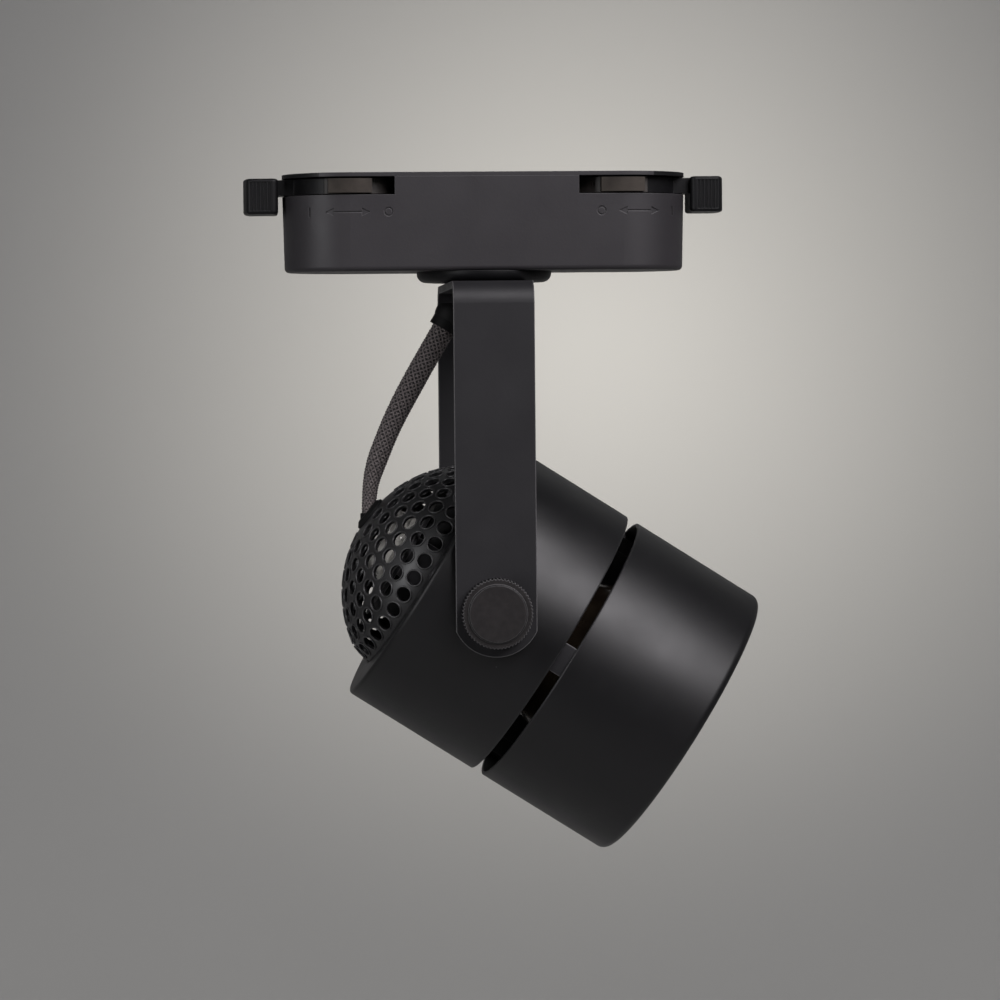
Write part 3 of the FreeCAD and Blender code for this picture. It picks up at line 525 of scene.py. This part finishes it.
def make_rivet_heads():
    """Low domed heads of the two rivets on the back of the rear rim."""
    bm = bmesh.new()
    around = 32
    profile = [(-19.75, 2.6), (-20.0, 2.5), (-20.3, 2.1), (-20.5, 1.4), (-20.58, 0.7)]
    for y in (-RIVET_Y, RIVET_Y):
        rings = []
        for s, r in profile:
            ring = []
            for i in range(around):
                a = 2.0 * math.pi * i / around
                ring.append(bm.verts.new(Vector((s, y + r * math.cos(a), r * math.sin(a))) * MM))
            rings.append(ring)
        tip = bm.verts.new(Vector((-20.6, y, 0.0)) * MM)
        for low, high in zip(rings, rings[1:]):
            for i in range(around):
                k = (i + 1) % around
                bm.faces.new((low[i], low[k], high[k], high[i]))
        for i in range(around):
            bm.faces.new((rings[-1][i], rings[-1][(i + 1) % around], tip))
    add_object("rivet_heads", mesh_from(bm, "rivet_heads"), "head", "black_steel", HEAD_MATRIX)


def dome_turn():
    return math.atan2(DOME_R - DOME_SHOULDER_R, DOME_CAP_R - DOME_DEPTH)


def dome_point(angle):
    """Point (s, r) of the dome where its normal leaves at this angle from the axis."""
    if angle <= dome_turn() + 1e-9:
        radius = DOME_CAP_R
        centre = (DOME_BASE_S - DOME_DEPTH + DOME_CAP_R, 0.0)
    else:
        radius = DOME_SHOULDER_R
        centre = (DOME_BASE_S, DOME_R - DOME_SHOULDER_R)
    return centre[0] - radius * math.cos(angle), centre[1] + radius * math.sin(angle)


def dome_angle(length):
    cap = DOME_CAP_R * dome_turn()
    if length <= cap:
        return length / DOME_CAP_R
    return dome_turn() + (length - cap) / DOME_SHOULDER_R


def dome_holes():
    """Hole centres as (normal angle, azimuth), in staggered rings that miss the gland."""
    pole = DOME_BASE_S - DOME_DEPTH
    keep_clear = GLAND_R + HOLE_R + 0.7
    found = []
    for ring in range(HOLE_RINGS + 1):
        angle = dome_angle(ring * HOLE_PITCH)
        s, r = dome_point(angle)
        count = max(1, int(round(2 * math.pi * r / (HOLE_PITCH * 1.02))))
        shift = math.pi / count if ring % 2 else 0.0
        for i in range(count):
            azimuth = shift + 2 * math.pi * i / count
            off = math.hypot(r * math.cos(azimuth) - GLAND_R_OFF, r * math.sin(azimuth))
            if math.hypot(off, s - pole) > keep_clear:
                found.append((angle, azimuth))
    return found


def make_hole_rims():
    """Rolled lip round each opening of the dome."""
    bm = bmesh.new()
    around, section = 28, 8
    major, minor = HOLE_R + RIM_OUT, RIM_R
    for angle, azimuth in dome_holes():
        s, r = dome_point(angle)
        turn = Matrix.Rotation(-azimuth, 3, "X")
        centre = turn @ Vector((s, 0.0, r))
        normal = turn @ Vector((-math.cos(angle), 0.0, math.sin(angle)))
        side = turn @ Vector((0.0, 1.0, 0.0))
        other = normal.cross(side)
        rings = []
        for i in range(around):
            a = 2.0 * math.pi * i / around
            out = side * math.cos(a) + other * math.sin(a)
            ring = []
            for k in range(section):
                b = 2.0 * math.pi * k / section
                lift = minor * math.sin(b) - RIM_SINK
                spot = centre + out * (major + minor * math.cos(b)) + normal * lift
                ring.append(bm.verts.new(spot * MM))
            rings.append(ring)
        for i in range(around):
            low, high = rings[i], rings[(i + 1) % around]
            for k in range(section):
                n = (k + 1) % section
                bm.faces.new((low[k], low[n], high[n], high[k]))
    add_object("dome_rims", mesh_from(bm, "dome_rims"), "head", "black_mesh", HEAD_MATRIX)


def make_grommet():
    """Low rubber grommet in the dome, with a short sleeve round the lead's end."""
    tilt = math.asin(GLAND_R_OFF / DOME_CAP_R)
    s, r = dome_point(tilt)
    disc = rounded([
        (-1.2, 2.3, 0.0), (-1.2, GLAND_R, 0.0), (0.15, GLAND_R, 0.1), (1.1, 3.8, 0.4), (1.1, 2.3, 0.1),
    ])
    spin = Matrix.Rotation(math.pi + tilt, 4, "Y")
    seat = HEAD_MATRIX @ Matrix.Translation(Vector((s, 0.0, r)) * MM) @ spin
    piece = add_object("dome_grommet", lathe("dome_grommet", disc, 64), "head", "black_rubber", seat)
    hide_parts("dome_gland")
    end, above = Vector(LEAD_ROUTE[-1]), Vector(LEAD_ROUTE[-2])
    along = (above - end).to_track_quat("X", "Z").to_matrix().to_4x4()
    sleeve = rounded([
        (-1.9, 0.3, 0.0), (-1.9, 2.6, 1.3), (1.2, 2.45, 0.3),
        (1.2, 2.12, 0.1), (0.0, 2.12, 0.0), (0.0, 0.3, 0.0),
    ])
    add_object(
        "lead_sleeve", lathe("lead_sleeve", sleeve, 48), "head", "black_rubber",
        Matrix.Translation(end * MM) @ along)


# ------------------------------------------------------------------ lead

def route_points(points, samples=24):
    """Evenly read points of the smooth NURBS line through the lead's route."""
    curve = bpy.data.curves.new("lead_line", "CURVE")
    curve.dimensions = "3D"
    curve.resolution_u = samples
    spline = curve.splines.new("NURBS")
    spline.points.add(len(points) - 1)
    for point, xyz in zip(spline.points, points):
        point.co = (xyz[0] * MM, xyz[1] * MM, xyz[2] * MM, 1.0)
    spline.order_u = 3
    spline.use_endpoint_u = True
    line = bpy.data.objects.new("lead_line", curve)
    bpy.context.scene.collection.objects.link(line)
    bpy.context.view_layer.update()
    mesh = bpy.data.meshes.new_from_object(line)
    found = [v.co.copy() for v in mesh.vertices]
    bpy.data.objects.remove(line)
    bpy.data.curves.remove(curve)
    bpy.data.meshes.remove(mesh)
    return found


def resample(points, step):
    """Points at an even spacing along a polyline, and the line's length."""
    total = sum((b - a).length for a, b in zip(points, points[1:]))
    count = max(2, int(round(total / step)))
    out = [points[0].copy()]
    gap = total / count
    need = gap
    run = 0.0
    for a, b in zip(points, points[1:]):
        size = (b - a).length
        while size > 0.0 and run + size >= need - 1e-12 and len(out) < count:
            out.append(a.lerp(b, (need - run) / size))
            need += gap
        run += size
    out.append(points[-1].copy())
    return out, total


def frames_along(points):
    """Tangent, side and up vectors at each point of a line in the XZ plane."""
    side = Vector((0.0, 1.0, 0.0))
    rows = []
    for i, point in enumerate(points):
        a = points[max(0, i - 1)]
        b = points[min(len(points) - 1, i + 1)]
        tangent = (b - a).normalized()
        rows.append((point, side, tangent.cross(side).normalized()))
    return rows


def tube_mesh(name, points, radius_at, around=28):
    bm = bmesh.new()
    rings = []
    for i, (point, side, up) in enumerate(frames_along(points)):
        radius = radius_at(i / (len(points) - 1.0))
        ring = []
        for k in range(around):
            a = 2.0 * math.pi * k / around
            ring.append(bm.verts.new(point + (side * math.cos(a) + up * math.sin(a)) * radius))
        rings.append(ring)
    for low, high in zip(rings, rings[1:]):
        for k in range(around):
            n = (k + 1) % around
            bm.faces.new((low[k], low[n], high[n], high[k]))
    bm.faces.new(list(reversed(rings[0])))
    bm.faces.new(rings[-1])
    return mesh_from(bm, name)


def braid_mesh(name, points, radius_at, strands=14, half_width=0.00058, wave=0.0002):
    """Two sets of flat yarns that wind opposite ways and pass over and under."""
    bm = bmesh.new()
    uv_layer = bm.loops.layers.uv.new("UVMap")
    rows = frames_along(points)
    steps = len(rows) - 1
    length = sum((b - a).length for a, b in zip(points, points[1:]))
    turns = length / BRAID_PITCH
    for way in (-1, 1):
        for strand in range(strands):
            start = 2.0 * math.pi * strand / strands
            previous = None
            for i, (point, side, up) in enumerate(rows):
                t = i / steps
                angle = start + way * 2.0 * math.pi * turns * t
                crossing = strands * turns * t * 2.0 + (0.0 if way > 0 else 1.0) + strand
                lift = wave * math.cos(math.pi * crossing) * way
                base = radius_at(t) + lift
                spread = half_width / base
                ring = []
                for k, bulge in YARN_SECTION:
                    a = angle + k * spread
                    r = base + bulge
                    ring.append(bm.verts.new(point + (side * math.cos(a) + up * math.sin(a)) * r))
                if previous is not None:
                    for k in range(4):
                        face = bm.faces.new((previous[k], previous[k + 1], ring[k + 1], ring[k]))
                        for loop in face.loops:
                            right = loop.vert in (previous[k + 1], ring[k + 1])
                            behind = loop.vert in (previous[k], previous[k + 1])
                            column = k + (1 if right else 0)
                            row = i - (1 if behind else 0)
                            loop[uv_layer].uv = (column / 4.0, row / 3.0)
                previous = ring
    for face in bm.faces:
        face.smooth = True
    mesh = bpy.data.meshes.new(name)
    bm.to_mesh(mesh)
    bm.free()
    return mesh


def make_lead():
    """Braided lead from the boot under the yoke to the grip on the dome."""
    line = route_points(LEAD_ROUTE)
    points, length = resample(line, BRAID_STEP)
    coarse, _ = resample(line, CORE_STEP)

    def sleeve(t):
        radius = LEAD_D / 2.0 - BRAID_INSET
        for begin, finish, drop in LEAD_NARROWING:
            share = min(1.0, max(0.0, (t - begin) / (finish - begin)))
            radius -= drop * share * share * (3.0 - 2.0 * share)
        return radius * MM

    def core(t):
        return sleeve(t) - CORE_INSET

    base = add_object("lead_core", tube_mesh("lead_core", coarse, core), None, "braid")
    cover = add_object("lead_braid", braid_mesh("lead_braid", points, sleeve), None, "braid")
    for piece in (base, cover):
        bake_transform(piece)
    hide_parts("lead")


# ------------------------------------------------------------------ studio

FLOOR_DROP = 0.55
FLOOR_R = 1.6
COVE_R = 0.9
WALL_TOP = 2.4


def make_studio():
    """Round pale floor that curves up into a wall on every side."""
    floor_z = cad_low[2] - FLOOR_DROP
    outline = [(0.0, 0.0), (FLOOR_R, 0.0)]
    for i in range(1, 13):
        a = math.radians(90.0 * i / 12.0)
        outline.append((FLOOR_R + COVE_R * math.sin(a), COVE_R - COVE_R * math.cos(a)))
    outline.append((FLOOR_R + COVE_R, WALL_TOP))
    bm = bmesh.new()
    segments = 96
    centre = bm.verts.new((0.0, 0.0, floor_z))
    rings = []
    for r, z in outline[1:]:
        ring = []
        for i in range(segments):
            a = 2.0 * math.pi * i / segments
            ring.append(bm.verts.new((r * math.cos(a), r * math.sin(a), floor_z + z)))
        rings.append(ring)
    for i in range(segments):
        bm.faces.new((centre, rings[0][i], rings[0][(i + 1) % segments]))
    for low, high in zip(rings, rings[1:]):
        for i in range(segments):
            k = (i + 1) % segments
            bm.faces.new((low[i], low[k], high[k], high[i]))
    mesh = mesh_from(bm, "studio_floor")
    obj = bpy.data.objects.new("studio_floor", mesh)
    bpy.context.scene.collection.objects.link(obj)
    m = Nodes("studio_paper")
    tone = m.noise(2.0, 2.0)
    shade = m.mix_colour(m.ramp(tone, "Fac", 0.3, 0.7), "Result", (0.5, 0.5, 0.49), (0.52, 0.52, 0.51))
    m.tree.links.new(shade.outputs["Result"], m.shader.inputs["Base Color"])
    m.shader.inputs["Roughness"].default_value = 0.9
    mesh.materials.append(m.material)


def add_light(name, towards, distance, size, power, colour=(1.0, 1.0, 1.0), aim=(0.0, 0.0, -0.1)):
    data = bpy.data.lights.new(name, "AREA")
    data.shape = "RECTANGLE"
    data.size = size[0]
    data.size_y = size[1]
    data.energy = power
    data.color = colour
    obj = bpy.data.objects.new(name, data)
    bpy.context.scene.collection.objects.link(obj)
    target = Vector(aim)
    place = target + Vector(towards).normalized() * distance
    obj.location = place
    obj.rotation_euler = (target - place).to_track_quat("-Z", "Y").to_euler()


def add_spot(name, power, degrees, place, aim, colour):
    """Soft spot that lights the wall behind the object."""
    data = bpy.data.lights.new(name, "SPOT")
    data.energy = power
    data.color = colour
    data.spot_size = math.radians(degrees)
    data.spot_blend = 1.0
    data.shadow_soft_size = 0.3
    obj = bpy.data.objects.new(name, data)
    bpy.context.scene.collection.objects.link(obj)
    obj.location = place
    obj.rotation_euler = (Vector(aim) - obj.location).to_track_quat("-Z", "Y").to_euler()


def make_lights():
    add_light(
        "key_softbox", towards=(0.41, -0.64, 0.6), distance=1.15, size=(0.75, 0.75),
        power=20.0, colour=(1.0, 0.965, 1.0))
    add_light(
        "left_softbox", towards=(-0.77, -0.64, 0.2), distance=1.3, size=(0.2, 0.9),
        power=7.5, colour=(0.98, 0.98, 1.0))
    add_light(
        "rear_softbox", towards=(0.25, 0.85, 0.6), distance=1.3, size=(0.9, 0.5), power=0.3)
    add_spot(
        "backdrop_spot", power=190.0, degrees=22.5, place=(0.1, 0.5, 0.75),
        aim=(0.24, 2.5, -0.03), colour=(1.0, 0.955, 0.88))
    add_spot(
        "backdrop_fill", power=14.0, degrees=60.0, place=(-0.2, 0.6, 0.8),
        aim=(0.16, 2.1, -0.7), colour=(1.0, 0.97, 0.93))
    world = bpy.data.worlds.new("studio_world")
    world.use_nodes = True
    background = world.node_tree.nodes["Background"]
    background.inputs["Color"].default_value = (0.9, 0.93, 0.92, 1.0)
    background.inputs["Strength"].default_value = 0.13
    bpy.context.scene.world = world


def make_camera():
    data = bpy.data.cameras.new("camera")
    data.sensor_width = 36.0
    data.lens = LENS_MM
    data.clip_start = 0.01
    obj = bpy.data.objects.new("camera", data)
    bpy.context.scene.collection.objects.link(obj)
    back = CAMERA_RIGHT.cross(CAMERA_UP).normalized()
    up = back.cross(CAMERA_RIGHT).normalized()
    axes = Matrix((CAMERA_RIGHT.normalized(), up, back)).transposed().to_4x4()
    obj.matrix_world = Matrix.Translation(CAMERA_AT) @ axes
    bpy.context.scene.camera = obj


make_camera()
dress_cad_nodes()
make_lead()
make_shells()
make_rivet_heads()
make_hole_rims()
make_grommet()
make_studio()
make_lights()
bpy.context.scene.view_settings.view_transform = "Standard"
